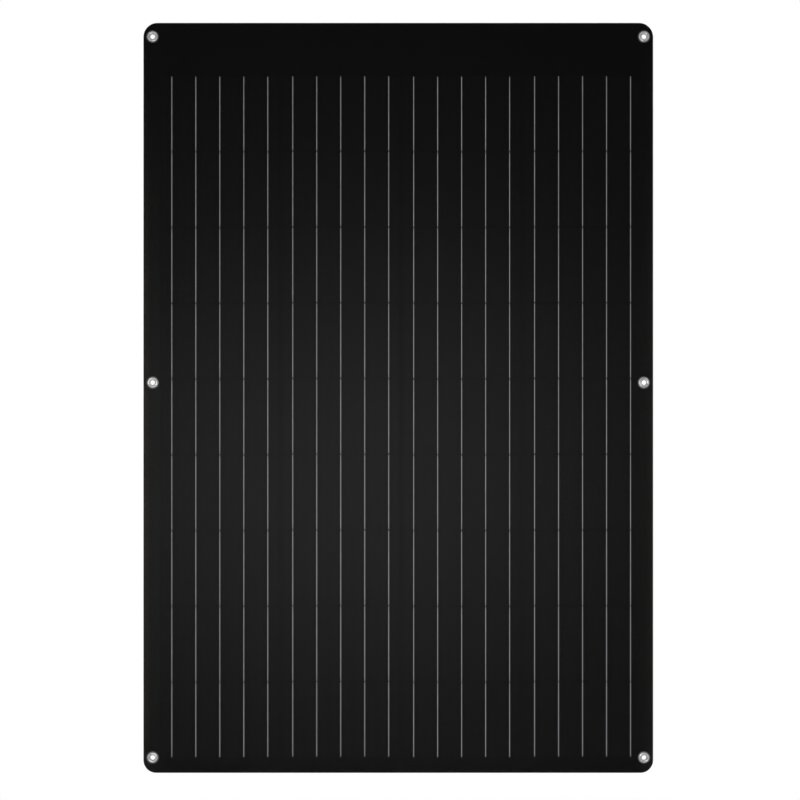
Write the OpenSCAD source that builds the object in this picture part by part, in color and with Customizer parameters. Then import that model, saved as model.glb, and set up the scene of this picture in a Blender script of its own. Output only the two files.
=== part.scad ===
// Flexible solar panel: a thin black laminate of series-connected cells, six metal eyelets,
// and a low junction box with a hinged lid on the rear face.
//
// The panel stands upright. +X is to the right as seen from the sunny side, +Z is up the
// panel and -Y is out of the sunny face. Y = 0 is the laminate's rear face, and the origin is
// the middle of the four corner eyelets, which carry the panel.
// All lengths are in millimetres.

/* [Panel] */
// Width of the laminate
panel_w = 666; // [664:1:720]
// Height of the laminate
panel_h = 980; // [980:1:1040]
// Radius of the two upper corners
top_corner_r = 18.3; // [8:0.1:30]
// Radius of the two lower corners
bottom_corner_r = 16.7; // [8:0.1:30]

/* [Layers, from the sunny face to the rear] */
// Thickness of the clear front film
film_t = 0.1; // [0.05:0.01:0.2]
// Thickness of the clear encapsulant in front of the cells
front_encapsulant_t = 0.45; // [0.4:0.05:0.8]
// Thickness of the black encapsulant that the cells are bedded in
rear_encapsulant_t = 0.45; // [0.45:0.05:0.8]
// Thickness of the glass-fibre board that stiffens the panel
board_t = 1.2; // [0.8:0.1:3]
// Thickness of the black backsheet
backsheet_t = 0.3; // [0.2:0.05:0.5]

/* [Cells] */
// Number of strings, side by side
columns = 4; // [4]
// Number of cells in a string
rows = 9; // [6:1:9]
// Width of a cell
cell_w = 152; // [144:0.5:153]
// Height of a cell
cell_h = 97; // [80:0.5:97]
// Thickness of a cell
cell_t = 0.2; // [0.15:0.01:0.2]
// Distance from one string to the next
column_pitch = 158; // [156:0.5:158]
// Gap between one cell and the next in a string
row_gap = 2; // [1.5:0.1:3]
// How far the strings sit to the right of the panel's middle
strings_shift = 3.8; // [0:0.1:3.8]
// Blank band above the cells
top_band = 70; // [70:1:90]

/* [Ribbons] */
// Ribbons along each cell
ribbons_per_cell = 5; // [2:1:6]
// Distance from one ribbon to the next along a cell
ribbon_pitch = 31.35; // [20:0.05:31.35]
// Width of a cell ribbon
ribbon_w = 0.9; // [0.6:0.1:1.5]
// Thickness of cell ribbons and bus ribbons
ribbon_t = 0.2; // [0.12:0.01:0.2]
// How far a ribbon stops short of a cell's far edge
ribbon_inset = 0.5; // [0.2:0.1:4]
// How far past a cell's edge a ribbon drops back to the next cell's rear
ribbon_drop = 0.3; // [0.3:0.1:1.2]
// Width of the bus ribbons that join the strings
bus_w = 5; // [3:0.5:5]

/* [Eyelets] */
// Radius of the clear hole
eyelet_hole_r = 3.2; // [2.5:0.1:3.2]
// Radius of the rounded front flange
eyelet_flange_r = 8; // [6:0.1:8]
// Height of the front flange above the film
eyelet_crown = 1.3; // [0.8:0.1:2]
// Distance from an eyelet's middle to the side edge
eyelet_side_inset = 12; // [12:0.5:14]
// Distance from the upper eyelets to the top edge
eyelet_top_inset = 18; // [16:1:25]
// Distance from the middle eyelets to the top edge
eyelet_middle_drop = 470; // [460:1:500]
// Distance from the lower eyelets to the bottom edge
eyelet_bottom_inset = 20; // [18:1:20]

/* [Junction box] */
// Width of the box walls
box_w = 100; // [96:1:120]
// Height of the box walls, up the panel
box_h = 46; // [44:1:50]
// Distance from the panel's rear face to the rim of the base
box_rim = 14.6; // [14.6:0.1:17]
// Thickness of the walls
box_wall = 3; // [2.6:0.1:3.5]
// Distance from the box's middle to the panel's top edge
box_drop = 38; // [36:1:40]
// Thickness of the bonding pad under the box
pad_t = 0.8; // [0.5:0.1:1]
// Thickness of the lid
lid_t = 2; // [1.6:0.1:3]
// Radius of the lid's hinge pin
pin_r = 1; // [0.8:0.1:1]

/* [Glands] */
// Outer diameter of the lead that a gland's seal takes
lead_d = 6.2; // [5:0.1:6.2]
// Distance from the rear face to the glands' axis
gland_axis = 8.8; // [8.6:0.1:9.2]

/* [Hidden] */
circle_facets = 64;
$fn = circle_facets;

// Planes of the stack, measured forward from the rear face
board_rear = backsheet_t;
bed_rear = board_rear + board_t;
cell_front = bed_rear + rear_encapsulant_t;
cell_rear = cell_front - cell_t;
film_rear = cell_front + front_encapsulant_t;
face = film_rear + film_t;

// The laminate's ends, with z = 0 halfway between the upper and the lower eyelets
panel_top = (panel_h + eyelet_top_inset - eyelet_bottom_inset) / 2;
panel_bottom = panel_top - panel_h;

// Where the cells are
row_pitch = cell_h + row_gap;
strings_h = rows * row_pitch - row_gap;
strings_top = panel_top - top_band;
strings_bottom = strings_top - strings_h;
strings_middle = (strings_top + strings_bottom) / 2;
strings_w = (columns - 1) * column_pitch + cell_w;
ribbon_span = (ribbons_per_cell - 1) * ribbon_pitch;

// The bus ribbons' lines: near and far above the strings, and one below them
bus_gap = 2;
near_bus = strings_top + bus_gap + bus_w / 2;
far_bus = near_bus + bus_w + 3;
bottom_bus = strings_bottom - bus_gap - bus_w / 2;
bus_overhang = 2;
mask_t = 0.1;
mask_rim = 1.5;

// Eyelets
barrel_t = 0.4;
barrel_r = eyelet_hole_r + barrel_t;
washer_r = 8.5;
washer_t = 0.8;
roll_r = 5.4;
roll_crown = 0.9;
eyelet_x = panel_w / 2 - eyelet_side_inset;
eyelet_heights = [
    panel_top - eyelet_top_inset,
    panel_top - eyelet_middle_drop,
    panel_bottom + eyelet_bottom_inset
];

// Junction box. Its own frame lies on the panel's rear face: x to the right as seen from
// the sunny side, y down the panel and z away from the rear face.
box_middle = panel_top - box_drop;
box_corner_r = 5;
flange_rim = 6;
flange_t = 1.6;
floor_top = pad_t + flange_t;
pad_inset = 2;
gasket_w = 1.4;
gasket_inset = (box_wall - gasket_w) / 2;
gasket_depth = 1;
gasket_proud = 0.3;
gasket_top = box_rim + gasket_proud;

// Lid, which clears the gasket and the walls' outline
lid_gap = 0.1;
lid_edge_gap = 0.3;
lid_bottom = gasket_top + lid_gap;
lid_lip_t = 1.2;
lid_lip_depth = 1.5;
lid_lip_gap = 0.7;
lid_recess_rim = 7;
lid_recess_depth = 0.5;
lid_tab_w = 16;
lid_tab_reach = 3.8;

// Hinge
knuckle_r = 2;
knuckle_gap = 0.5;
pin_clearance = 0.05;
hinge_y = -box_h / 2 - knuckle_gap - knuckle_r;
hinge_z = lid_bottom + lid_t / 2;
hinge_half = 38;
lid_knuckle_half = 29.6;
base_knuckle_start = 30;

// Snap tongues on the lid and the ridges on the base that they ride over
tongue_x = 30;
tongue_w = 9;
tongue_t = 1.2;
tongue_gap = 0.4;
tongue_reach = 7.5;
window_w = 5;
window_h = 2.4;
window_z = lid_bottom - 5.6;
ridge_h = 0.25;
ridge_w = 4.4;
ridge_l = 1.2;

// Terminals
terminal_pitch = 28;
tab_line = 10;
slot_w = 6.4;
slot_t = 1.6;
rail_w = 9;
rail_t = 1;
rail_z = 5.4;
rail_back = -13;
rail_tab_top = 10;
screw_y = -8;
screw_r = 1.5;
screw_head_r = 2.8;
screw_head_t = 1.8;
screw_slot_w = 0.8;
screw_slot_depth = 0.9;
boss_r = 3.2;
boss_floor = 0.2;
post_y = 5;
post_r = 2;
diode_r = 2.7;
diode_l = 9.5;
diode_lead_r = 0.6;
diode_lead_l = 23;
diode_y = 0;

// Glands
stub_l = 8;
stub_r = 5.2;
stub_hole_r = 3.3;
seal_outer_r = 4.2;
seal_start = 4;
nut_start = 1.2;
nut_across_flats = 12;
nut_hex_l = 5.8;
nut_l = 10.8;
nut_cap_t = 1.6;
nut_cap_hole_r = 3.4;

// Rating plate, left blank
plate_w = 90;
plate_h = 60;
plate_t = 0.2;
plate_corner_r = 3;
plate_drop = 190;

cut = 1;

function column_x(column) = strings_shift + (column - (columns - 1) / 2) * column_pitch;
function ribbon_offset(ribbon) = ribbon * ribbon_pitch - ribbon_span / 2;
function is_outer(column) = column == 0 || column == columns - 1;
function cell_name(row, column) = str("cell_row_", row + 1, "_string_", column + 1);

CELLS = [for (row = [0 : rows - 1]) for (column = [0 : columns - 1]) cell_name(row, column)];

// ---- Frames and outlines ----

// Stands the flat panel up: x stays, y becomes up and z becomes forward.
module upright() rotate([90, 0, 0]) children();

// Puts the junction box's own frame on the rear face.
module behind() translate([0, 0, box_middle]) rotate([-90, 0, 0]) children();

module rounded_rect(width, height, radius) {
    square([width - 2 * radius, height], center = true);
    square([width, height - 2 * radius], center = true);
    for (x = [-1, 1], y = [-1, 1])
        translate([x * (width / 2 - radius), y * (height / 2 - radius)]) circle(radius);
}

module eyelet_places()
    for (side = [-1, 1], height = eyelet_heights) translate([side * eyelet_x, height]) children();

module panel_outline() {
    straight_h = panel_h - top_corner_r - bottom_corner_r;
    translate([-panel_w / 2, panel_bottom + bottom_corner_r]) square([panel_w, straight_h]);
    panel_end(panel_top - top_corner_r, top_corner_r, 1);
    panel_end(panel_bottom + bottom_corner_r, bottom_corner_r, -1);
}

// The strip between two rounded corners, above (1) or below (-1) the straight sides.
module panel_end(height, radius, direction) {
    translate([0, height + direction * radius / 2])
        square([panel_w - 2 * radius, radius], center = true);
    for (side = [-1, 1]) translate([side * (panel_w / 2 - radius), height]) circle(radius);
}

// One sheet of the laminate, punched for the eyelets.
module sheet(rear, thickness)
    translate([0, 0, rear]) linear_extrude(thickness) difference() {
        panel_outline();
        eyelet_places() circle(barrel_r);
    }

// Three slots that the bus ribbons' tabs go through to the terminals.
module tab_slots()
    for (terminal = [-1 : 1])
        translate([terminal * terminal_pitch, box_middle - tab_line])
            square([slot_w, slot_t], center = true);

// ---- Laminate ----

module front_film() color([0.75, 0.78, 0.8, 0.2]) upright() sheet(film_rear, film_t);

module front_encapsulant()
    color([0.85, 0.86, 0.88, 0.25]) upright() difference() {
        sheet(cell_front, front_encapsulant_t);
        ribbon_channels(cell_front, ribbon_t);
        mask_shapes();
    }

module rear_encapsulant()
    color([0.05, 0.05, 0.06]) upright() difference() {
        sheet(bed_rear, rear_encapsulant_t);
        for (row = [0 : rows - 1], column = [0 : columns - 1]) cell_block(row, column, cut);
        ribbon_channels(cell_rear - ribbon_t, ribbon_t);
        ribbon_drops();
        translate([0, 0, cell_rear]) linear_extrude(cell_t + cut) {
            bottom_bus_outline();
            near_bus_outline();
            for (side = [-1, 1]) far_bus_outline(side);
        }
        translate([0, 0, bed_rear - cut]) linear_extrude(rear_encapsulant_t + 2 * cut) tab_slots();
    }

module backing_board()
    color([0.10, 0.10, 0.10]) upright() difference() {
        sheet(board_rear, board_t);
        translate([0, 0, board_rear - cut]) linear_extrude(board_t + 2 * cut) tab_slots();
    }

module backsheet()
    color([0.13, 0.13, 0.14]) upright() difference() {
        sheet(0, backsheet_t);
        translate([0, 0, -cut]) linear_extrude(backsheet_t + 2 * cut) tab_slots();
    }

// ---- Cells and ribbons ----

// The room that a cell takes, up to a height above its front.
module cell_block(row, column, above = 0)
    translate([
        column_x(column) - cell_w / 2,
        strings_top - row * row_pitch - cell_h,
        cell_rear
    ]) cube([cell_w, cell_h, cell_t + above]);

module cell(row, column) color([0.03, 0.035, 0.06]) upright() cell_block(row, column);

// How far a string's ribbons reach from the strings' middle to its bus ribbon.
function top_reach(column) =
    (is_outer(column) ? far_bus : near_bus) + bus_w / 2 - strings_middle;
bottom_reach = strings_middle - bottom_bus + bus_w / 2;

// Straight channels that the ribbons lie in.
module ribbon_channels(rear, depth)
    for (column = [0 : columns - 1], ribbon = [0 : ribbons_per_cell - 1])
        translate([
            column_x(column) + ribbon_offset(ribbon) - ribbon_w / 2,
            strings_middle - bottom_reach,
            rear
        ]) cube([ribbon_w, bottom_reach + top_reach(column), depth]);

// Notches in the gaps between cells that the ribbons drop through. The rest of each gap is
// closed over them.
module ribbon_drops()
    for (column = [0 : columns - 1], row = [0 : rows - 2], ribbon = [0 : ribbons_per_cell - 1]) {
        turned = column % 2 == 1;
        drop = turned ? strings_top - (row + 1) * row_pitch + ribbon_drop
                      : strings_top - row * row_pitch - cell_h - ribbon_drop;
        translate([
            column_x(column) + ribbon_offset(ribbon) - ribbon_w / 2,
            drop - ribbon_t / 2,
            cell_rear - ribbon_t
        ]) cube([ribbon_w, ribbon_t, ribbon_t + cell_t + cut]);
    }

// A ribbon's side view, extruded across the ribbon's width.
module ribbon_strip(points)
    rotate([90, 0, 90]) linear_extrude(ribbon_w, center = true) polygon(points);

// One line of ribbons down a string whose top cell is the first. Each ribbon runs along
// the front of a cell and passes through the gap to the rear of the next one.
module ribbon_line(first_reach, last_reach) {
    front_top = cell_front + ribbon_t;
    rear_bottom = cell_rear - ribbon_t;
    half_t = ribbon_t / 2;
    first_end = strings_h / 2 - cell_h + ribbon_inset;
    last_start = cell_h - strings_h / 2 - ribbon_inset;
    ribbon_strip([
        [first_reach, rear_bottom], [first_reach, cell_rear],
        [first_end, cell_rear], [first_end, rear_bottom]
    ]);
    for (row = [0 : rows - 2]) {
        start = strings_h / 2 - row * row_pitch - ribbon_inset;
        drop = strings_h / 2 - row * row_pitch - cell_h - ribbon_drop;
        end = strings_h / 2 - (row + 1) * row_pitch - cell_h + ribbon_inset;
        ribbon_strip([
            [start, cell_front], [start, front_top], [drop - half_t, front_top],
            [drop - half_t, cell_rear], [end, cell_rear], [end, rear_bottom],
            [drop + half_t, rear_bottom], [drop + half_t, cell_front]
        ]);
    }
    ribbon_strip([
        [last_start, cell_front], [last_start, front_top],
        [-last_reach, front_top], [-last_reach, cell_front]
    ]);
}

// Every second string is turned over end for end, so that the strings join in series.
module cell_ribbons()
    color([0.75, 0.76, 0.78]) upright()
        for (column = [0 : columns - 1], ribbon = [0 : ribbons_per_cell - 1]) {
            turned = column % 2 == 1;
            translate([column_x(column) + ribbon_offset(ribbon), strings_middle, 0])
                if (turned)
                    mirror([0, 1, 0]) ribbon_line(bottom_reach, top_reach(column));
                else
                    ribbon_line(top_reach(column), bottom_reach);
        }

// A bus ribbon's outline from one ribbon line to another.
module bus_outline(from_x, to_x, height)
    translate([from_x - bus_overhang, height - bus_w / 2])
        square([to_x - from_x + 2 * bus_overhang, bus_w]);

module near_bus_outline() {
    bus_outline(column_x(1) - ribbon_span / 2, column_x(2) + ribbon_span / 2, near_bus);
    tab_outline(0, near_bus);
}

module far_bus_outline(side) {
    outer = column_x(side < 0 ? 0 : columns - 1) + side * ribbon_span / 2;
    inner = side * (terminal_pitch - bus_w / 2 + bus_overhang);
    bus_outline(min(outer, inner), max(outer, inner), far_bus);
    tab_outline(side, far_bus);
}

// The tab that climbs from a bus ribbon to its slot.
module tab_outline(terminal, height)
    translate([terminal * terminal_pitch - bus_w / 2, height])
        square([bus_w, box_middle - tab_line + ribbon_t / 2 - height]);

module bottom_bus_outline()
    for (pair = [0, 2])
        bus_outline(column_x(pair) - ribbon_span / 2, column_x(pair + 1) + ribbon_span / 2, bottom_bus);

// The tab's leg, which goes back through its slot into the junction box.
module tab_leg(terminal)
    translate([
        terminal * terminal_pitch - bus_w / 2,
        box_middle - tab_line - ribbon_t / 2,
        -rail_tab_top
    ]) cube([bus_w, ribbon_t, rail_tab_top + cell_front]);

module bus_metal() color([0.72, 0.74, 0.76]) upright() children();

module bus_strip() translate([0, 0, cell_rear]) linear_extrude(cell_t) children();

module bottom_bus_ribbons() bus_metal() bus_strip() bottom_bus_outline();

module negative_bus_ribbon() bus_metal() {
    bus_strip() far_bus_outline(-1);
    tab_leg(-1);
}

module centre_bus_ribbon() bus_metal() {
    bus_strip() near_bus_outline();
    tab_leg(0);
}

module positive_bus_ribbon() bus_metal() {
    bus_strip() far_bus_outline(1);
    tab_leg(1);
}

// Black strips that hide the bus ribbons and their tabs above and below the strings.
module mask_shapes() {
    left = strings_shift - strings_w / 2;
    top_h = box_middle - tab_line + ribbon_t / 2 + mask_rim - strings_top;
    bottom_h = strings_bottom - bottom_bus + bus_w / 2 + mask_rim;
    translate([left, strings_top, cell_front + ribbon_t]) cube([strings_w, top_h, mask_t]);
    translate([left, strings_bottom - bottom_h, cell_front + ribbon_t])
        cube([strings_w, bottom_h, mask_t]);
}

module masking_strips() color([0.02, 0.02, 0.02]) upright() mask_shapes();

// ---- Eyelets and rating plate ----

// A ring with a rounded top, standing on z = 0.
module rounded_ring(inner_r, outer_r, crown) {
    half_chord = (outer_r - inner_r) / 2;
    arc_r = (half_chord * half_chord + crown * crown) / (2 * crown);
    rotate_extrude() intersection() {
        translate([inner_r + half_chord, crown - arc_r]) circle(arc_r);
        translate([inner_r, 0]) square([2 * half_chord, crown]);
    }
}

module eyelets()
    color([0.80, 0.80, 0.81]) upright() eyelet_places() {
        translate([0, 0, face]) rounded_ring(eyelet_hole_r, eyelet_flange_r, eyelet_crown);
        translate([0, 0, -washer_t]) linear_extrude(washer_t + face) difference() {
            circle(barrel_r);
            circle(eyelet_hole_r);
        }
        translate([0, 0, -washer_t]) mirror([0, 0, 1])
            rounded_ring(eyelet_hole_r, roll_r, roll_crown);
    }

module eyelet_washers()
    color([0.74, 0.74, 0.75]) upright() eyelet_places()
        translate([0, 0, -washer_t]) linear_extrude(washer_t) difference() {
            circle(washer_r);
            circle(barrel_r);
        }

module rating_plate()
    color([0.70, 0.71, 0.72]) upright() translate([0, panel_top - plate_drop, -plate_t])
        linear_extrude(plate_t) rounded_rect(plate_w, plate_h, plate_corner_r);

// ---- Junction box ----

// The box's outline, moved inward by an inset.
module box_outline(inset)
    rounded_rect(box_w - 2 * inset, box_h - 2 * inset, box_corner_r - inset);

module at_terminals(y)
    for (terminal = [-1 : 1]) translate([terminal * terminal_pitch, y]) children();

module box_slots() at_terminals(tab_line) square([slot_w, slot_t], center = true);

module box_pad()
    color([0.25, 0.25, 0.26]) behind() linear_extrude(pad_t) difference() {
        box_outline(pad_inset - flange_rim);
        box_slots();
    }

// A gland's frame: z runs out of the box along its axis, from the wall's outer face.
module at_gland(side)
    translate([side * box_w / 2, 0, gland_axis]) rotate([0, side * 90, 0]) children();

module on_hinge(from_x, to_x)
    translate([from_x, hinge_y, hinge_z]) rotate([0, 90, 0]) linear_extrude(to_x - from_x) children();

module base_knuckle(side) {
    from_x = side < 0 ? -hinge_half : base_knuckle_start;
    width = hinge_half - base_knuckle_start;
    arm_bottom = hinge_z - 2.2 * knuckle_r;
    on_hinge(from_x, from_x + width) circle(knuckle_r);
    translate([from_x, hinge_y - knuckle_r, arm_bottom])
        cube([width, -box_h / 2 - hinge_y + knuckle_r, hinge_z - arm_bottom]);
    translate([from_x, -box_h / 2 - cut, arm_bottom]) cube([width, 2 * cut, box_rim - arm_bottom]);
}

module box_shell() {
    translate([0, 0, pad_t]) linear_extrude(flange_t) box_outline(-flange_rim);
    translate([0, 0, pad_t]) linear_extrude(box_rim - pad_t) box_outline(0);
    for (side = [-1, 1]) {
        at_gland(side) translate([0, 0, -box_wall / 2])
            cylinder(r = stub_r, h = stub_l + box_wall / 2);
        base_knuckle(side);
        translate([side * tongue_x - ridge_w / 2, box_h / 2 - cut, window_z - ridge_l / 2])
            cube([ridge_w, cut + ridge_h, ridge_l]);
    }
}

module box_base()
    color([0.09, 0.09, 0.10]) behind() {
        difference() {
            box_shell();
            translate([0, 0, floor_top]) linear_extrude(box_rim) box_outline(box_wall);
            translate([0, 0, box_rim - gasket_depth]) linear_extrude(gasket_depth + cut)
                gasket_outline();
            translate([0, 0, pad_t - cut]) linear_extrude(flange_t + 2 * cut) box_slots();
            on_hinge(-hinge_half - cut, hinge_half + cut) circle(pin_r);
            for (side = [-1, 1]) at_gland(side) {
                translate([0, 0, -box_wall - cut])
                    cylinder(r = stub_hole_r, h = box_wall + stub_l + 2 * cut);
                translate([0, 0, seal_start]) cylinder(r = seal_outer_r, h = stub_l);
            }
        }
        translate([0, 0, floor_top]) linear_extrude(rail_z - floor_top) {
            at_terminals(post_y) circle(post_r);
            at_terminals(screw_y) difference() {
                circle(boss_r);
                circle(screw_r);
            }
        }
    }

module gasket_outline() difference() {
    box_outline(gasket_inset);
    box_outline(gasket_inset + gasket_w);
}

module lid_gasket()
    color([0.20, 0.20, 0.21]) behind() translate([0, 0, box_rim - gasket_depth])
        linear_extrude(gasket_depth + gasket_proud) gasket_outline();

module hinge_pin()
    color([0.75, 0.75, 0.76]) behind() on_hinge(-hinge_half, hinge_half) circle(pin_r);

module snap_tongue(side) {
    tongue_y = box_h / 2 + tongue_gap;
    difference() {
        translate([side * tongue_x - tongue_w / 2, tongue_y, lid_bottom - tongue_reach])
            cube([tongue_w, tongue_t, tongue_reach + lid_t]);
        translate([side * tongue_x - window_w / 2, tongue_y - cut, window_z - window_h / 2])
            cube([window_w, tongue_t + 2 * cut, window_h]);
    }
    translate([side * tongue_x - tongue_w / 2, box_h / 2 - lid_edge_gap - cut, lid_bottom])
        cube([tongue_w, tongue_gap + lid_edge_gap + 2 * cut, lid_t]);
}

module box_lid()
    color([0.10, 0.10, 0.11]) behind() difference() {
        union() {
            translate([0, 0, lid_bottom]) linear_extrude(lid_t) box_outline(lid_edge_gap);
            translate([0, 0, lid_bottom - lid_lip_depth]) linear_extrude(lid_lip_depth)
                difference() {
                    box_outline(box_wall + lid_lip_gap);
                    box_outline(box_wall + lid_lip_gap + lid_lip_t);
                }
            on_hinge(-lid_knuckle_half, lid_knuckle_half) circle(knuckle_r);
            translate([-lid_knuckle_half, hinge_y, lid_bottom])
                cube([2 * lid_knuckle_half, -box_h / 2 - hinge_y + lid_edge_gap + cut, lid_t]);
            for (side = [-1, 1]) snap_tongue(side);
            translate([-lid_tab_w / 2, box_h / 2 - lid_edge_gap - cut, lid_bottom])
                cube([lid_tab_w, lid_tab_reach + cut, lid_t]);
        }
        translate([0, 0, lid_bottom + lid_t - lid_recess_depth]) linear_extrude(lid_t)
            rounded_rect(box_w - 2 * lid_recess_rim, box_h - 2 * lid_recess_rim, box_corner_r / 2);
        on_hinge(-lid_knuckle_half - cut, lid_knuckle_half + cut) circle(pin_r + pin_clearance);
    }

// ---- Terminals ----

module terminal_rails()
    color([0.78, 0.62, 0.38]) behind() {
        tab_face = tab_line - ribbon_t / 2;
        at_terminals(0) translate([0, 0, rail_z]) {
            difference() {
                translate([-rail_w / 2, rail_back, 0]) cube([rail_w, tab_face - rail_back, rail_t]);
                translate([0, screw_y, -cut]) cylinder(r = screw_r, h = rail_t + 2 * cut);
            }
            translate([-rail_w / 2, tab_face - rail_t, 0])
                cube([rail_w, rail_t, rail_tab_top - rail_z]);
        }
    }

module terminal_screws()
    color([0.72, 0.72, 0.74]) behind() at_terminals(screw_y) {
        shank_bottom = floor_top + boss_floor;
        head_bottom = rail_z + rail_t;
        translate([0, 0, shank_bottom]) cylinder(r = screw_r, h = head_bottom - shank_bottom);
        translate([0, 0, head_bottom]) difference() {
            cylinder(r = screw_head_r, h = screw_head_t);
            translate([0, 0, screw_head_t]) cube([
                3 * screw_head_r, screw_slot_w, 2 * screw_slot_depth
            ], center = true);
        }
    }

module bypass_diodes()
    color([0.08, 0.08, 0.09]) behind() for (side = [-1, 1])
        translate([side * terminal_pitch / 2, diode_y, rail_z + rail_t + diode_lead_r])
            rotate([0, 90, 0]) {
                cylinder(r = diode_r, h = diode_l, center = true);
                cylinder(r = diode_lead_r, h = diode_lead_l, center = true);
            }

// ---- Glands ----

module gland_nuts()
    color([0.11, 0.11, 0.12]) behind() for (side = [-1, 1])
        at_gland(side) translate([0, 0, nut_start]) difference() {
            union() {
                rotate(30) cylinder(r = nut_across_flats / 2 / cos(30), h = nut_hex_l, $fn = 6);
                cylinder(r = nut_across_flats / 2, h = nut_l);
            }
            translate([0, 0, -cut]) cylinder(r = stub_r, h = stub_l - nut_start + cut);
            cylinder(r = seal_outer_r, h = nut_l - nut_cap_t);
            cylinder(r = nut_cap_hole_r, h = nut_l + cut);
        }

module gland_seals()
    color([0.16, 0.16, 0.16]) behind() for (side = [-1, 1])
        at_gland(side) translate([0, 0, seal_start]) difference() {
            seal_l = nut_start + nut_l - nut_cap_t - seal_start;
            cylinder(r = seal_outer_r, h = seal_l);
            translate([0, 0, -cut]) cylinder(r = lead_d / 2, h = seal_l + 2 * cut);
        }

// ---- Drawing ----

front_film();
front_encapsulant();
rear_encapsulant();
backing_board();
backsheet();
masking_strips();
cell_ribbons();
bottom_bus_ribbons();
negative_bus_ribbon();
centre_bus_ribbon();
positive_bus_ribbon();
eyelets();
eyelet_washers();
rating_plate();
box_pad();
box_base();
box_lid();
lid_gasket();
hinge_pin();
terminal_rails();
terminal_screws();
bypass_diodes();
gland_nuts();
gland_seals();
for (row = [0 : rows - 1], column = [0 : columns - 1])
    cell(row, column);
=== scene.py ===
import math
import random

import bmesh
import bpy
from mathutils import Matrix, Vector
from mathutils.geometry import tessellate_polygon


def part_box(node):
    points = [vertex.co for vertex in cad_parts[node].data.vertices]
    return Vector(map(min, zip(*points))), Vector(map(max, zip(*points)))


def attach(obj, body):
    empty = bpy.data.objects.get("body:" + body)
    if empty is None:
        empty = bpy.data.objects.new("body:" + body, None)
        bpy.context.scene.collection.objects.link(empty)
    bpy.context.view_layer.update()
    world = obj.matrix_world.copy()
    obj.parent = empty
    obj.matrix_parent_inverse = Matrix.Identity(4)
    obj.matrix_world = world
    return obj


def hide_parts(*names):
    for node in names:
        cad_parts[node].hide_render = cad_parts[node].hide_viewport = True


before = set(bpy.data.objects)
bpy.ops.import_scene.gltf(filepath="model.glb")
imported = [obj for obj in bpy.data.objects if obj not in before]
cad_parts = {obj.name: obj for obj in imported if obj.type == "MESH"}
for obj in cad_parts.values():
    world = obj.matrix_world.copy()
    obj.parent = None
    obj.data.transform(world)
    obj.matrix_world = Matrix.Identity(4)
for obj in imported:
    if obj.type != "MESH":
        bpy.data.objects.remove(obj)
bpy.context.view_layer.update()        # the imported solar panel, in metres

# The frame: X to the right, Z up, -Y out of the sunny face. A depth is a distance forward
# from the laminate's rear face, so it is negative behind the panel.

MM = 0.001
PANEL = "panel"
LID = "lid"
random.seed(36)

# ---- Places that come from the frame ----

sheet_low, sheet_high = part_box("backing_board")
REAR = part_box("backsheet")[1].y
PANEL_CENTRE = Vector(((sheet_low.x + sheet_high.x) / 2, REAR, (sheet_low.z + sheet_high.z) / 2))
PANEL_WIDTH = sheet_high.x - sheet_low.x
PANEL_HEIGHT = sheet_high.z - sheet_low.z


def depth_range(node):
    """How far forward of the rear face a node starts and ends."""
    low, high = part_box(node)
    return REAR - high.y, REAR - low.y


BACKSHEET_REAR, BACKSHEET_FRONT = depth_range("backsheet")
CELL_REAR, CELL_FRONT = depth_range("cell_row_1_string_1")
FILM_REAR, FACE = depth_range("front_film")
ROWS = 9
STRINGS = 4


# ---- Mesh making ----

def add_piece(name, bm, shade, body=PANEL, replaced=(), sharp_angle=35):
    """Turns a bmesh into a piece that rides on a body."""
    bmesh.ops.recalc_face_normals(bm, faces=bm.faces)
    mesh = bpy.data.meshes.new(name)
    bm.to_mesh(mesh)
    bm.free()
    return add_mesh_piece(name, mesh, shade, body, replaced, sharp_angle)


def add_mesh_piece(name, mesh, shade, body, replaced, sharp_angle):
    mesh.shade_smooth()
    mesh.set_sharp_from_angle(angle=math.radians(sharp_angle))
    mesh.materials.clear()
    mesh.materials.append(shade)
    piece = bpy.data.objects.new(name, mesh)
    bpy.context.scene.collection.objects.link(piece)
    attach(piece, body)
    if replaced:
        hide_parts(*replaced)
    return piece


def at_depth(x, depth, z):
    return Vector((x, REAR - depth, z))


def arc(centre, radius_x, radius_y, start, end, steps):
    """Points of an elliptical arc in a profile's plane, from one angle in degrees to another."""
    points = []
    for i in range(steps + 1):
        angle = math.radians(start + (end - start) * i / steps)
        points.append((centre[0] + radius_x * math.cos(angle), centre[1] + radius_y * math.sin(angle)))
    return points


def loft(bm, rings, closed=False):
    """Joins rings of the same number of vertices, one to the next."""
    pairs = list(zip(rings, rings[1:]))
    if closed:
        pairs.append((rings[-1], rings[0]))
    for first, second in pairs:
        count = len(first)
        for i in range(count):
            j = (i + 1) % count
            bm.faces.new((first[i], first[j], second[j], second[i]))


def revolve(bm, profile, place, segments=96, ripple=None):
    """Turns a closed profile of (radius, height) about an axis; place() puts each point."""
    rings = []
    for radius, height in profile:
        ring = []
        for i in range(segments):
            angle = 2 * math.pi * i / segments
            raised = height + (ripple(radius, angle) if ripple else 0)
            ring.append(bm.verts.new(place(radius * math.cos(angle), radius * math.sin(angle), raised)))
        rings.append(ring)
    loft(bm, rings, closed=True)


# ---- Sheets of the laminate ----

TOP_CORNER = 18.3 * MM
BOTTOM_CORNER = 16.7 * MM
CORNER_STEPS = 16
HOLE_RADIUS = 3.6 * MM
HOLE_STEPS = 48
WASHER_RADIUS = 8.5 * MM
EYELET_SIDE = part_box("eyelet_washers")[1].x - WASHER_RADIUS
EYELET_HEIGHTS = (471 * MM, 19 * MM, -471 * MM)
EYELET_PLACES = [(side * EYELET_SIDE, height) for height in EYELET_HEIGHTS for side in (-1, 1)]


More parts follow.
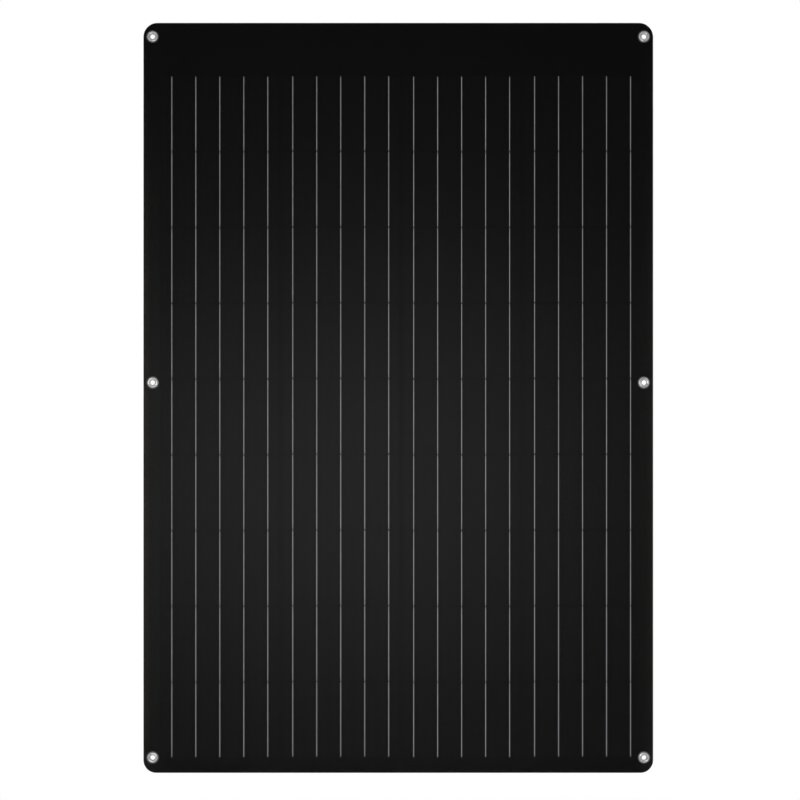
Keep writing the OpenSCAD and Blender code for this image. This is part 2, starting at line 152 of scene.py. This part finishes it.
def sheet_outline(inset):
    """The laminate's outline, moved inward, anticlockwise as seen from the sunny side."""
    points = []
    half_w, half_h = PANEL_WIDTH / 2, PANEL_HEIGHT / 2
    corners = ((1, 1, TOP_CORNER, 0), (-1, 1, TOP_CORNER, 90),
               (-1, -1, BOTTOM_CORNER, 180), (1, -1, BOTTOM_CORNER, 270))
    for side, end, radius, start in corners:
        centre = (PANEL_CENTRE.x + side * (half_w - radius), PANEL_CENTRE.z + end * (half_h - radius))
        points += arc(centre, radius - inset, radius - inset, start, start + 90, CORNER_STEPS)
    return points


def hole_outline(place, inset):
    ring = arc(place, HOLE_RADIUS + inset, HOLE_RADIUS + inset, 0, 360, HOLE_STEPS)
    return ring[:-1]


def sheet_piece(name, edge, hole_edge, shade, replaced):
    """A punched sheet. Each edge is a list of (inset, depth) from its front to its rear."""
    bm = bmesh.new()
    borders = []
    walls = [(sheet_outline, edge)]
    walls += [(lambda inset, place=place: hole_outline(place, inset), hole_edge)
              for place in EYELET_PLACES]
    for outline, profile in walls:
        rings = [[bm.verts.new(at_depth(x, depth, z)) for x, z in outline(inset)]
                 for inset, depth in profile]
        loft(bm, rings)
        borders.append((rings[0], rings[-1]))
    for end in (0, 1):
        loops = [border[end] for border in borders]
        corners = [vert for loop in loops for vert in loop]
        for triangle in tessellate_polygon([[vert.co for vert in loop] for loop in loops]):
            bm.faces.new([corners[i] for i in triangle])
    return add_piece(name, bm, shade, replaced=replaced, sharp_angle=25)


# ---- Materials ----

class Shade:
    """A node material with one Principled shader, whose plain numbers are set on its sockets."""

    def __init__(self, name, color=(0.5, 0.5, 0.5), **numbers):
        self.material = bpy.data.materials.new(name)
        self.material.use_nodes = True
        self.tree = self.material.node_tree
        self.surface = self.tree.nodes["Principled BSDF"]
        self.output = self.tree.nodes["Material Output"]
        self.surface.inputs["Base Color"].default_value = (*color, 1)
        for key, value in numbers.items():
            socket = key.replace("_", " ").title().replace("Ior", "IOR")
            self.surface.inputs[socket].default_value = value
        self.place = self.node("ShaderNodeTexCoord").outputs["Object"]

    def node(self, kind, values=None, **settings):
        made = self.tree.nodes.new(kind)
        for key, value in settings.items():
            setattr(made, key, value)
        for key, value in (values or {}).items():
            if isinstance(value, bpy.types.NodeSocket):
                self.tree.links.new(value, made.inputs[key])
            else:
                made.inputs[key].default_value = value
        return made

    def noise(self, size, detail=3, stretch=(1, 1, 1)):
        """Noise whose blobs are about size across."""
        where = self.node("ShaderNodeVectorMath", {0: self.place, 1: stretch}, operation="MULTIPLY")
        return self.node("ShaderNodeTexNoise", {
            "Vector": where.outputs[0], "Scale": 0.5 / size, "Detail": detail,
        }).outputs["Fac"]

    def math(self, operation, first, second=0.0):
        return self.node("ShaderNodeMath", {0: first, 1: second}, operation=operation).outputs[0]

    def near(self, value, middle, reach):
        """One where a value is within reach of a middle, and zero elsewhere."""
        return self.node("ShaderNodeMath", {0: value, 1: middle, 2: reach}, operation="COMPARE").outputs[0]

    def ramp(self, factor, *stops):
        """A colour ramp. Each stop is (position, grey or colour)."""
        made = self.node("ShaderNodeValToRGB", {"Fac": factor})
        points = made.color_ramp.elements
        while len(points) < len(stops):
            points.new(0.5)
        for point, (position, value) in zip(points, stops):
            point.position = position
            point.color = (*value, 1) if isinstance(value, tuple) else (value, value, value, 1)
        return made.outputs["Color"]

    def mix(self, factor, first, second):
        made = self.node("ShaderNodeMix", data_type="RGBA")
        for number, value in ((0, factor), (6, first), (7, second)):
            socket = made.inputs[number]
            if isinstance(value, bpy.types.NodeSocket):
                self.tree.links.new(value, socket)
            else:
                socket.default_value = (*value, 1)
        return made.outputs[2]

    def split(self):
        return self.node("ShaderNodeSeparateXYZ", {0: self.place}).outputs

    def weave(self, across, up, thread):
        """Threads that pass over and under each other, at a number of radians to the metre."""
        waves = [self.math("SINE", self.math("MULTIPLY", way, thread)) for way in (across, up)]
        return self.math("MULTIPLY", *waves)

    def bump(self, height, distance, target=None):
        made = self.node("ShaderNodeBump", {"Height": height, "Distance": distance})
        self.tree.links.new(made.outputs[0], (target or self.surface).inputs["Normal"])
        return made.outputs[0]

    def blend(self, factor, first, second):
        """Sends a mix of two shaders to the surface."""
        both = self.node("ShaderNodeMixShader", {0: factor, 1: first.outputs[0], 2: second.outputs[0]})
        self.tree.links.new(both.outputs[0], self.output.inputs["Surface"])

    def feed(self, socket, value):
        self.tree.links.new(value, self.surface.inputs[socket])


def mottled(name, dark, light, size, roughness, spread=0.06, grain=0.3, height=0.01, **numbers):
    """A moulded, cast or pressed surface: two close colours, uneven gloss and a fine grain."""
    shade = Shade(name, dark, **numbers)
    cloud = shade.noise(size, detail=5)
    shade.feed("Base Color", shade.ramp(cloud, (0.3, dark), (0.7, light)))
    shade.feed("Roughness", shade.ramp(shade.noise(size * 0.6, detail=6),
                                       (0.3, roughness - spread), (0.7, roughness + spread)))
    shade.bump(shade.noise(grain * MM, detail=4), height * MM)
    return shade.material


def film_shade():
    """Clear film: what it doesn't mirror goes straight through. Its face has a fine satin grain."""
    shade = Shade("fluoropolymer film")
    clear = shade.node("ShaderNodeBsdfTransparent")
    gloss = shade.node("ShaderNodeBsdfGlossy", {"Color": (0.98, 0.98, 1.0, 1), "Roughness": 0.445})
    swell = shade.math("MULTIPLY", shade.noise(6 * MM), 1.5)
    grain = shade.math("ADD", shade.noise(0.35 * MM, detail=2), swell)
    bent = shade.bump(grain, 0.006 * MM, target=gloss)
    edge = shade.node("ShaderNodeFresnel", {"IOR": 1.19, "Normal": bent})
    shade.blend(edge.outputs[0], clear, gloss)
    shade.tree.nodes.remove(shade.surface)
    return shade.material


def encapsulant_shade():
    """Clear encapsulant with the faintest haze."""
    shade = Shade("clear encapsulant", (0.02, 0.02, 0.02), roughness=0.6, specular_ior_level=0.0)
    clear = shade.node("ShaderNodeBsdfTransparent", {"Color": (0.97, 0.97, 0.965, 1)})
    haze = shade.ramp(shade.noise(9 * MM), (0.3, 0.01), (0.8, 0.03))
    shade.blend(haze, clear, shade.surface)
    return shade.material


def bed_shade():
    """Black encapsulant with painted light along the laminate's sealed sides: a paler, warmer glow,
    strongest round the middle height and on the left, fading out at the top.
    """
    shade = Shade("black encapsulant", (0.0012, 0.0012, 0.0013), roughness=0.5, specular_ior_level=0.0)
    cloud = shade.noise(14 * MM, detail=5)
    black = shade.ramp(cloud, (0.3, (0.0010, 0.0010, 0.0011)), (0.7, (0.0014, 0.0014, 0.0015)))
    # Painted light: this pale, warm colour is a painted glow, not the encapsulant's own colour.
    pale = shade.ramp(cloud, (0.3, (0.031, 0.028, 0.023)), (0.7, (0.036, 0.033, 0.027)))
    place = shade.split()
    across = shade.math("DIVIDE", shade.math("ABSOLUTE", place["X"]), PANEL_WIDTH / 2)
    # Painted light: the glow lies in bands along both sides. It is fainter towards the bottom and the
    # right, and fades out at the top.
    side = shade.ramp(across, (0.928, 0.0), (0.940, 0.35), (0.972, 0.35), (0.988, 1.0))
    up = shade.math("DIVIDE", shade.math("SUBTRACT", place["Z"], sheet_low.z), PANEL_HEIGHT)
    height = shade.ramp(up, (0.0, 0.5), (0.13, 0.75), (0.5, 0.95), (0.76, 0.48), (0.91, 0.15), (1.0, 0.0))
    from_left = shade.math("ADD", shade.math("DIVIDE", place["X"], PANEL_WIDTH), 0.5)
    painted_glow_strength = shade.math("MULTIPLY", shade.ramp(from_left, (0.4, 1.0), (0.6, 0.55)), height)
    shade.feed("Base Color", shade.mix(shade.math("MULTIPLY", side, painted_glow_strength), black, pale))
    shade.bump(shade.noise(0.3 * MM, detail=4), 0.01 * MM)
    return shade.material


def silicon_shade():
    """Near-black cell with fine printed fingers across it and a faint blue cast."""
    shade = Shade("monocrystalline silicon", (0.004, 0.0045, 0.006), specular_ior_level=0.03)
    z = shade.split()["Z"]
    finger_pitch, finger_width = 1.35 * MM, 0.06 * MM
    along = shade.math("DIVIDE", z, finger_pitch)
    line = shade.math("LESS_THAN", shade.math("FRACT", along), finger_width / finger_pitch)
    cloud = shade.noise(24 * MM, detail=4)
    cell = shade.ramp(cloud, (0.25, (0.0008, 0.0009, 0.0011)), (0.75, (0.0012, 0.0013, 0.0015)))
    shade.feed("Base Color", shade.mix(line, cell, (0.007, 0.0072, 0.008)))
    shade.feed("Roughness", shade.ramp(shade.noise(3 * MM, detail=5), (0.3, 0.36), (0.7, 0.46)))
    shade.bump(line, 0.012 * MM)
    return shade.material


def ribbon_shade():
    """Tinned copper: drawn lengthways, with an uneven, partly matte skin of solder."""
    light, dark = (0.77, 0.77, 0.77), (0.70, 0.70, 0.70)
    shade = Shade("tinned ribbon", light, metallic=0.2)
    streak = shade.noise(0.12 * MM, detail=3, stretch=(1, 1, 0.02))
    pool = shade.noise(7 * MM, detail=4)
    tone = shade.math("ADD", shade.math("MULTIPLY", streak, 0.4), shade.math("MULTIPLY", pool, 0.6))
    shade.feed("Base Color", shade.ramp(tone, (0.35, dark), (0.65, light)))
    shade.feed("Roughness", shade.ramp(pool, (0.3, 0.58), (0.7, 0.68)))
    shade.bump(tone, 0.02 * MM)
    return shade.material


def eyelet_shade():
    """Plated brass: the crown keeps its polish and is a little worn; the low brim and lip are rougher and
    painted near black, a painted shade.
    """
    shade = Shade("eyelet plating", (0.86, 0.86, 0.87), metallic=1.0)
    wear = shade.noise(1.6 * MM, detail=6)
    crown_height = -FACE - EYELET_CROWN
    raised = shade.math("DIVIDE", shade.math("ADD", shade.split()["Y"], FACE), crown_height)
    # Mask: one on the raised crown, zero on the low brim and lip. There it sets a real rougher finish, and
    # painted shade in the colour.
    polish_and_painted_shade_mask = shade.ramp(shade.math("ABSOLUTE", raised), (0.37, 0.0), (0.47, 1.0))
    crown = shade.ramp(wear, (0.35, (0.80, 0.80, 0.80)), (0.6, (0.94, 0.94, 0.95)))
    # Painted shade: the brim and lip colour is a near-black metal, painted in so that they read as a dark
    # ring round each crown.
    brim = shade.ramp(wear, (0.35, (0.14, 0.14, 0.14)), (0.6, (0.22, 0.22, 0.225)))
    shade.feed("Base Color", shade.mix(polish_and_painted_shade_mask, brim, crown))
    shade.feed("Roughness", shade.mix(polish_and_painted_shade_mask, shade.ramp(wear, (0.3, 0.48), (0.7, 0.40)),
                                      shade.ramp(wear, (0.3, 0.28), (0.7, 0.18))))
    shade.bump(shade.noise(0.5 * MM, detail=4), 0.012 * MM)
    return shade.material


def board_shade():
    """Glass-fibre board: woven rovings in dark resin, seen along its cut edge."""
    shade = Shade("glass fibre board", (0.02, 0.022, 0.02), roughness=0.6)
    x, y, z = (shade.split()[axis] for axis in "XYZ")
    weave = shade.weave(x, z, 2200)
    plies = shade.math("SINE", shade.math("MULTIPLY", y, 2 * math.pi / (0.2 * MM)))
    pattern = shade.math("ADD", weave, plies)
    dark, light = (0.010, 0.011, 0.010), (0.035, 0.038, 0.033)
    shade.feed("Base Color", shade.ramp(pattern, (0.0, dark), (1.0, light)))
    shade.bump(pattern, 0.02 * MM)
    return shade.material


def backsheet_shade():
    """Black backsheet: a fine pressed weave with cloudy gloss."""
    shade = Shade("black backsheet", (0.02, 0.02, 0.021))
    x, z = (shade.split()[axis] for axis in "XZ")
    weave = shade.weave(x, z, 2 * math.pi / (0.9 * MM))
    cloud = shade.noise(40 * MM, detail=5)
    shade.feed("Base Color", shade.ramp(cloud, (0.3, (0.016, 0.016, 0.017)), (0.7, (0.026, 0.026, 0.027))))
    shade.feed("Roughness", shade.ramp(cloud, (0.3, 0.42), (0.7, 0.54)))
    grain = shade.math("ADD", weave, shade.math("MULTIPLY", shade.noise(0.4 * MM), 1.2))
    shade.bump(grain, 0.012 * MM)
    return shade.material


def plate_shade():
    """Blank rating plate: brushed silver film with a thin dark frame line."""
    low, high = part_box("rating_plate")
    centre, half = (low + high) / 2, (high - low) / 2
    shade = Shade("rating plate film", (0.6, 0.6, 0.61), metallic=0.55)
    x, z = (shade.split()[axis] for axis in "XZ")
    from_x = shade.math("ABSOLUTE", shade.math("SUBTRACT", x, centre.x))
    from_z = shade.math("ABSOLUTE", shade.math("SUBTRACT", z, centre.z))
    inside = shade.math("MAXIMUM", shade.math("SUBTRACT", from_x, half.x),
                        shade.math("SUBTRACT", from_z, half.z))
    frame_inset, half_line = 3.5 * MM, 0.25 * MM
    line = shade.near(inside, -frame_inset, half_line)
    brush = shade.noise(0.15 * MM, detail=3, stretch=(0.03, 1, 1))
    metal = shade.ramp(brush, (0.3, (0.52, 0.52, 0.53)), (0.7, (0.66, 0.66, 0.67)))
    shade.feed("Base Color", shade.mix(line, metal, (0.05, 0.05, 0.055)))
    shade.feed("Roughness", shade.ramp(brush, (0.3, 0.34), (0.7, 0.46)))
    shade.bump(brush, 0.006 * MM)
    return shade.material


def diode_shade():
    """Black epoxy body with the pale band that marks the cathode, and tinned leads."""
    shade = Shade("diode epoxy", (0.02, 0.02, 0.021))
    low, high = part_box("bypass_diodes")
    diode_middle = (high.x - low.x) / 4
    from_middle = shade.math("SUBTRACT", shade.math("ABSOLUTE", shade.split()["X"]), diode_middle)
    band_middle, half_band, half_body = 3.2 * MM, 0.5 * MM, 4.8 * MM
    band = shade.near(from_middle, band_middle, half_band)
    cloud = shade.noise(1.2 * MM, detail=5)
    epoxy = shade.ramp(cloud, (0.3, (0.016, 0.016, 0.017)), (0.7, (0.028, 0.028, 0.029)))
    body = shade.mix(band, epoxy, (0.45, 0.45, 0.46))
    lead = shade.math("GREATER_THAN", shade.math("ABSOLUTE", from_middle), half_body)
    tinned = shade.ramp(cloud, (0.3, (0.60, 0.60, 0.61)), (0.7, (0.72, 0.72, 0.73)))
    shade.feed("Base Color", shade.mix(lead, body, tinned))
    shade.feed("Metallic", lead)
    shade.feed("Roughness", shade.ramp(cloud, (0.3, 0.36), (0.7, 0.5)))
    shade.bump(cloud, 0.02 * MM)
    return shade.material


FILM = film_shade()
CLEAR = encapsulant_shade()
SILICON = silicon_shade()
RIBBON = ribbon_shade()
BOARD = board_shade()
BACKSHEET = backsheet_shade()
PLATE = plate_shade()
DIODE = diode_shade()
BLACK_BED = bed_shade()
MASK = mottled("masking strip", (0.0010, 0.0010, 0.0011), (0.0014, 0.0014, 0.0015),
               8 * MM, 0.55, specular_ior_level=0.0)
COPPER = mottled("tinned terminal copper", (0.60, 0.50, 0.38), (0.72, 0.62, 0.49), 2.5 * MM, 0.30,
                 metallic=1.0)
STEEL = mottled("stainless steel", (0.56, 0.56, 0.57), (0.68, 0.68, 0.69), 1.5 * MM, 0.28, metallic=1.0)
PAD = mottled("foam bonding pad", (0.022, 0.022, 0.023), (0.040, 0.040, 0.041), 1.0 * MM, 0.85,
              grain=0.25, height=0.08)
PLASTIC = mottled("moulded box plastic", (0.018, 0.018, 0.019), (0.026, 0.026, 0.027), 11 * MM, 0.44,
                  grain=0.22, height=0.018)
RUBBER = mottled("seal rubber", (0.020, 0.020, 0.020), (0.032, 0.032, 0.032), 2 * MM, 0.72,
                 grain=0.2, height=0.02)


def paint(node, shade):
    """Gives a CAD node that stays its finished material."""
    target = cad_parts[node]
    target.data.materials.clear()
    target.data.materials.append(shade)


# ---- Laminate ----

EDGE_ROUND = 0.5 * MM
SKIN = FACE - FILM_REAR
CONTACT_GAP = 0.02 * MM


def film_edge():
    """The film is sealed down over the laminate's edge: out over the round and back under it."""
    inner_round = EDGE_ROUND - SKIN
    turn = arc((0, 0), EDGE_ROUND, EDGE_ROUND, 90, 0, 8) + arc((0, 0), inner_round, inner_round, 0, 90, 8)
    return [(EDGE_ROUND - x, FACE - EDGE_ROUND + z) for x, z in turn]


def build_laminate():
    sheet_piece("film_skin", film_edge(), [(0, FACE), (0, FILM_REAR)], FILM, ("front_film",))
    under = FILM_REAR - CONTACT_GAP
    rear = CELL_FRONT + CONTACT_GAP
    turn = EDGE_ROUND - SKIN - CONTACT_GAP
    edge = [(EDGE_ROUND - x, under - turn + z) for x, z in arc((0, 0), turn, turn, 90, 0, 6)]
    inset = edge[-1][0]
    sheet_piece("encapsulant_sheet", edge + [(inset, rear)], [(0, under), (0, rear)], CLEAR,
                ("front_encapsulant",))
    turn = 0.2 * MM
    edge = [(0, BACKSHEET_FRONT)]
    edge += [(turn - x, BACKSHEET_REAR + turn - z) for x, z in arc((0, 0), turn, turn, 0, 90, 5)]
    sheet_piece("backsheet_skin", edge, [(0, BACKSHEET_FRONT), (0, BACKSHEET_REAR)], BACKSHEET,
                ("backsheet",))
    paint("rear_encapsulant", BLACK_BED)
    paint("backing_board", BOARD)
    paint("masking_strips", MASK)
    for row in range(ROWS):
        for string in range(STRINGS):
            paint(f"cell_row_{row + 1}_string_{string + 1}", SILICON)


# ---- Ribbons ----

RIBBON_PITCH = 31.35 * MM
RIBBONS_PER_CELL = 5
RIBBON_WIDTH = 0.88 * MM
RIBBON_THICKNESS = 0.19 * MM
BEND_REACH = 0.14 * MM
RIBBON_DROP = 0.3 * MM
BEND_STEPS = 8


def ribbon_section():
    """The rolled cross-section: (across, through), with rounded edges."""
    half_w, half_t, turn = RIBBON_WIDTH / 2, RIBBON_THICKNESS / 2, 0.06 * MM
    points = []
    for side, end, start in ((1, 1, 0), (-1, 1, 90), (-1, -1, 180), (1, -1, 270)):
        points += arc((side * (half_w - turn), end * (half_t - turn)), turn, turn, start, start + 90, 3)
    return points


def add_ribbon(bm, x, path):
    """Sweeps the section along a path of (height, depth) points. Ends are closed."""
    section = ribbon_section()
    rings = []
    for i, (z, depth) in enumerate(path):
        before, after = path[max(i - 1, 0)], path[min(i + 1, len(path) - 1)]
        run = Vector((after[0] - before[0], after[1] - before[1])).normalized()
        lift = Vector((-run.y, run.x)) if run.x >= 0 else Vector((run.y, -run.x))
        rings.append([bm.verts.new(at_depth(x + across, depth + through * lift.y, z + through * lift.x))
                      for across, through in section])
    loft(bm, rings)
    bm.faces.new(rings[0])
    bm.faces.new(rings[-1])


def ribbon_path(start, edge, end, front, rear):
    """Along the front of one cell, back just past its edge, and on to the rear of the next."""
    way = 1 if end > start else -1
    path = [(start, front)]
    for i in range(BEND_STEPS + 1):
        t = i / BEND_STEPS
        eased = t * t * (3 - 2 * t)
        along = RIBBON_DROP + BEND_REACH * (2 * t - 1)
        path.append((edge + way * along, front + (rear - front) * eased))
    path.append((end, rear))
    return path


def build_ribbons():
    half_t = 0.1 * MM
    front, rear = CELL_FRONT + half_t, CELL_REAR - half_t
    inset = 0.5 * MM
    past_inner_cell = 7 * MM
    ribbons_low, ribbons_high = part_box("cell_ribbons")
    bm = bmesh.new()
    for string in range(STRINGS):
        cells = [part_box(f"cell_row_{row + 1}_string_{string + 1}") for row in range(ROWS)]
        turned = string % 2 == 1
        outer = string in (0, STRINGS - 1)
        bus_top = ribbons_high.z if outer else cells[0][1].z + past_inner_cell
        middle = (cells[0][0].x + cells[0][1].x) / 2
        order = cells[::-1] if turned else cells
        near, far = (0, 1) if turned else (1, 0)
        first_end = ribbons_low.z if turned else bus_top
        last_end = bus_top if turned else ribbons_low.z
        sign = 1 if turned else -1
        for ribbon in range(RIBBONS_PER_CELL):
            x = middle + (ribbon - (RIBBONS_PER_CELL - 1) / 2) * RIBBON_PITCH
            add_ribbon(bm, x, [(first_end, rear), (order[0][far].z - sign * inset, rear)])
            for upper, lower in zip(order, order[1:]):
                start = upper[near].z + sign * inset
                end = lower[far].z - sign * inset
                add_ribbon(bm, x, ribbon_path(start, upper[far].z, end, front, rear))
            add_ribbon(bm, x, [(order[-1][near].z + sign * inset, front), (last_end, front)])
    add_piece("ribbon_set", bm, RIBBON, replaced=("cell_ribbons",))
    for node in ("bottom_bus_ribbons", "negative_bus_ribbon", "centre_bus_ribbon", "positive_bus_ribbon"):
        paint(node, RIBBON)


# ---- Eyelets ----

BARREL_IN, BARREL_OUT = 3.2 * MM, 3.6 * MM
FLANGE_RADIUS = 8 * MM
RIPPLE_START, RIPPLE_HEIGHT = 5.4 * MM, 0.05 * MM
EYELET_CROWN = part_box("eyelets")[0].y
WASHER_THICKNESS = 0.8 * MM


EYELET = eyelet_shade()


def eyelet_profile():
    """(radius, depth) round one eyelet: inner lip, crown, sloping brim, barrel and rear roll."""
    top = REAR - EYELET_CROWN
    crown_radius, crown_middle, crown_turn = 1.45 * MM, 5.2 * MM, 57
    profile = [(BARREL_IN, FACE + 0.2 * MM), (3.30 * MM, FACE + 0.30 * MM)]
    profile += [(3.94 * MM, FACE + 0.45 * MM)]
    profile += arc((crown_middle, top - crown_radius), crown_radius, crown_radius,
                   90 + crown_turn, 90 - crown_turn, 24)
    profile += [(6.50 * MM, FACE + 0.35 * MM), (7.86 * MM, FACE + 0.13 * MM)]
    profile += [(7.97 * MM, FACE + 0.07 * MM), (FLANGE_RADIUS, FACE), (BARREL_OUT, FACE)]
    profile += [(BARREL_OUT, -WASHER_THICKNESS)]
    profile += arc((4.3 * MM, -WASHER_THICKNESS), 1.1 * MM, 0.9 * MM, 0, -180, 16)
    return profile


def washer_profile():
    turn = 0.2 * MM
    rear, front = -WASHER_THICKNESS, 0
    return [(BARREL_OUT, front), (WASHER_RADIUS, front)] + [
        (WASHER_RADIUS - turn + x, rear + turn - z) for x, z in arc((0, 0), turn, turn, 0, 90, 4)
    ] + [(BARREL_OUT, rear)]


def build_eyelets():
    for number, (x, z) in enumerate(EYELET_PLACES, start=1):
        phase = random.uniform(0, 2 * math.pi)
        lobes = random.choice((2, 3))

        def ripple(radius, angle):
            """The brim isn't pressed quite evenly."""
            reach = max(0.0, radius - RIPPLE_START) / (FLANGE_RADIUS - RIPPLE_START)
            fade = max(0.0, 1 - reach) * reach * 4
            return RIPPLE_HEIGHT * fade * math.sin(lobes * angle + phase)

        def place(across, up, depth):
            return at_depth(x + across, depth, z + up)

        bm = bmesh.new()
        revolve(bm, eyelet_profile(), place, ripple=ripple)
        add_piece(f"eyelet_{number}", bm, EYELET, replaced=("eyelets",), sharp_angle=14)
        bm = bmesh.new()
        revolve(bm, washer_profile(), place)
        add_piece(f"eyelet_washer_{number}", bm, EYELET, replaced=("eyelet_washers",))


# ---- Junction box ----

def soften(node, name, width, shade, body=PANEL, segments=3):
    """A copy of a CAD node with its sharp edges rounded over, as a moulding's are."""
    bm = bmesh.new()
    bm.from_mesh(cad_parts[node].data)
    bmesh.ops.remove_doubles(bm, verts=bm.verts, dist=0.001 * MM)
    bmesh.ops.dissolve_limit(bm, angle_limit=math.radians(0.5), verts=bm.verts, edges=bm.edges)
    piece = add_piece(name, bm, shade, body, (node,))
    bevel = piece.modifiers.new("rounded edges", "BEVEL")
    bevel.width = width
    bevel.segments = segments
    bevel.limit_method = "ANGLE"
    bevel.angle_limit = math.radians(40)
    bevel.miter_outer = "MITER_ARC"
    apply_modifiers(piece)
    return piece


def apply_modifiers(piece, sharp_angle=35):
    depsgraph = bpy.context.evaluated_depsgraph_get()
    mesh = bpy.data.meshes.new_from_object(piece.evaluated_get(depsgraph))
    piece.modifiers.clear()
    piece.data = mesh
    mesh.shade_smooth()
    mesh.set_sharp_from_angle(angle=math.radians(sharp_angle))


def build_box():
    soften("box_base", "junction_box_base", 0.3 * MM, PLASTIC)
    soften("box_lid", "junction_box_lid", 0.3 * MM, PLASTIC, body=LID)
    soften("box_pad", "bonding_pad", 0.15 * MM, PAD)
    soften("lid_gasket", "gasket_ring", 0.3 * MM, RUBBER)
    soften("gland_nuts", "gland_caps", 0.35 * MM, PLASTIC)
    soften("gland_seals", "gland_rings", 0.2 * MM, RUBBER)
    soften("terminal_rails", "terminal_plates", 0.12 * MM, COPPER, segments=2)
    soften("terminal_screws", "rail_screws", 0.15 * MM, STEEL, segments=2)
    soften("bypass_diodes", "diodes", 0.3 * MM, DIODE)
    soften("rating_plate", "blank_plate", 0.05 * MM, PLATE, segments=2)
    soften("hinge_pin", "lid_pin", 0.2 * MM, STEEL, segments=2)


# ---- Studio ----

CAMERA_LENS = 100
CAMERA_DISTANCE = 2.9033
CAMERA_X = 2.25 * MM
CAMERA_Z = -2.78 * MM
SOFTBOX_AWAY = 1.2
SOFTBOX_X = -0.106
SOFTBOX_Z = -0.15
SOFTBOX_WIDTH = 0.9
SOFTBOX_HEIGHT = 0.56
SOFTBOX_POWER = 3.05
REAR_LIGHT_PLACE = (0.9, 1.5, 1.1)
REAR_LIGHT_POWER = 22
FLOOR_DROP = 0.28
FLOOR_RADIUS = 1.3


def build_camera():
    camera = bpy.data.objects.new("camera", bpy.data.cameras.new("camera"))
    bpy.context.scene.collection.objects.link(camera)
    camera.data.lens = CAMERA_LENS
    camera.data.sensor_width = 36
    camera.location = PANEL_CENTRE + Vector((CAMERA_X, -FACE - CAMERA_DISTANCE, CAMERA_Z))
    camera.rotation_euler = (math.radians(90), 0, 0)
    bpy.context.scene.camera = camera


def build_softbox():
    """A softbox in front of the panel, a little low and left, that makes the glow on the film."""
    lamp = bpy.data.lights.new("softbox", "AREA")
    lamp.shape = "ELLIPSE"
    lamp.size = SOFTBOX_WIDTH
    lamp.size_y = SOFTBOX_HEIGHT
    lamp.energy = SOFTBOX_POWER
    light = bpy.data.objects.new("softbox", lamp)
    bpy.context.scene.collection.objects.link(light)
    light.location = PANEL_CENTRE + Vector((SOFTBOX_X, -FACE - SOFTBOX_AWAY, SOFTBOX_Z))
    light.rotation_euler = (math.radians(90), 0, 0)
    light.visible_camera = False


def build_rear_light():
    """A large soft light high behind the panel, for the side that faces away."""
    lamp = bpy.data.lights.new("rear light", "AREA")
    lamp.shape = "SQUARE"
    lamp.size = 0.9
    lamp.energy = REAR_LIGHT_POWER
    light = bpy.data.objects.new("rear light", lamp)
    bpy.context.scene.collection.objects.link(light)
    light.location = PANEL_CENTRE + Vector(REAR_LIGHT_PLACE)
    light.rotation_euler = (PANEL_CENTRE - light.location).to_track_quat("-Z", "Y").to_euler()
    light.visible_camera = False


def build_world():
    """White paper behind the object, and for its lighting a tent that is dark round the camera."""
    world = bpy.data.worlds.new("studio")
    bpy.context.scene.world = world
    world.use_nodes = True
    tree = world.node_tree
    tree.nodes.clear()
    place = tree.nodes.new("ShaderNodeTexCoord")
    split = tree.nodes.new("ShaderNodeSeparateXYZ")
    tree.links.new(place.outputs["Generated"], split.inputs[0])
    remap = tree.nodes.new("ShaderNodeMapRange")
    remap.inputs["From Min"].default_value = 1
    remap.inputs["From Max"].default_value = -1
    tree.links.new(split.outputs["Y"], remap.inputs["Value"])
    ramp = tree.nodes.new("ShaderNodeValToRGB")
    tree.links.new(remap.outputs[0], ramp.inputs["Fac"])
    stops = ((0.0, 0.55), (0.40, 0.65), (0.52, 0.80), (0.84, 0.86), (0.905, 0.05), (1.0, 0.018))
    points = ramp.color_ramp.elements
    while len(points) < len(stops):
        points.new(0.5)
    for point, (position, grey) in zip(points, stops):
        point.position = position
        point.color = (grey, grey, grey * 1.01, 1)
    tent = tree.nodes.new("ShaderNodeBackground")
    tree.links.new(ramp.outputs["Color"], tent.inputs["Color"])
    paper = tree.nodes.new("ShaderNodeBackground")
    paper.inputs["Color"].default_value = (1, 1, 1, 1)
    rays = tree.nodes.new("ShaderNodeLightPath")
    pick = tree.nodes.new("ShaderNodeMixShader")
    tree.links.new(rays.outputs["Is Camera Ray"], pick.inputs[0])
    tree.links.new(tent.outputs[0], pick.inputs[1])
    tree.links.new(paper.outputs[0], pick.inputs[2])
    output = tree.nodes.new("ShaderNodeOutputWorld")
    tree.links.new(pick.outputs[0], output.inputs["Surface"])


def build_floor():
    """A round pale floor below the panel, fading into the paper at its rim."""
    bm = bmesh.new()
    height = PANEL_CENTRE.z - PANEL_HEIGHT / 2 - FLOOR_DROP
    bmesh.ops.create_circle(bm, cap_ends=True, radius=FLOOR_RADIUS, segments=128,
                            matrix=Matrix.Translation((0, 0, height)))
    mesh = bpy.data.meshes.new("floor")
    bm.to_mesh(mesh)
    bm.free()
    floor = bpy.data.objects.new("floor", mesh)
    bpy.context.scene.collection.objects.link(floor)
    shade = Shade("pale floor", (0.62, 0.62, 0.62), roughness=0.9)
    length = shade.node("ShaderNodeVectorMath", {0: shade.place}, operation="LENGTH").outputs["Value"]
    outward = shade.math("DIVIDE", length, math.hypot(FLOOR_RADIUS, height))
    fade = shade.ramp(outward, (0.72, 0.0), (0.99, 1.0))
    clear = shade.node("ShaderNodeBsdfTransparent")
    shade.blend(fade, shade.surface, clear)
    mesh.materials.append(shade.material)


def build_studio():
    scene = bpy.context.scene
    scene.view_settings.view_transform = "Standard"
    scene.cycles.transparent_max_bounces = 24
    build_camera()
    build_softbox()
    build_rear_light()
    build_world()
    build_floor()


build_laminate()
build_ribbons()
build_eyelets()
build_box()
build_studio()
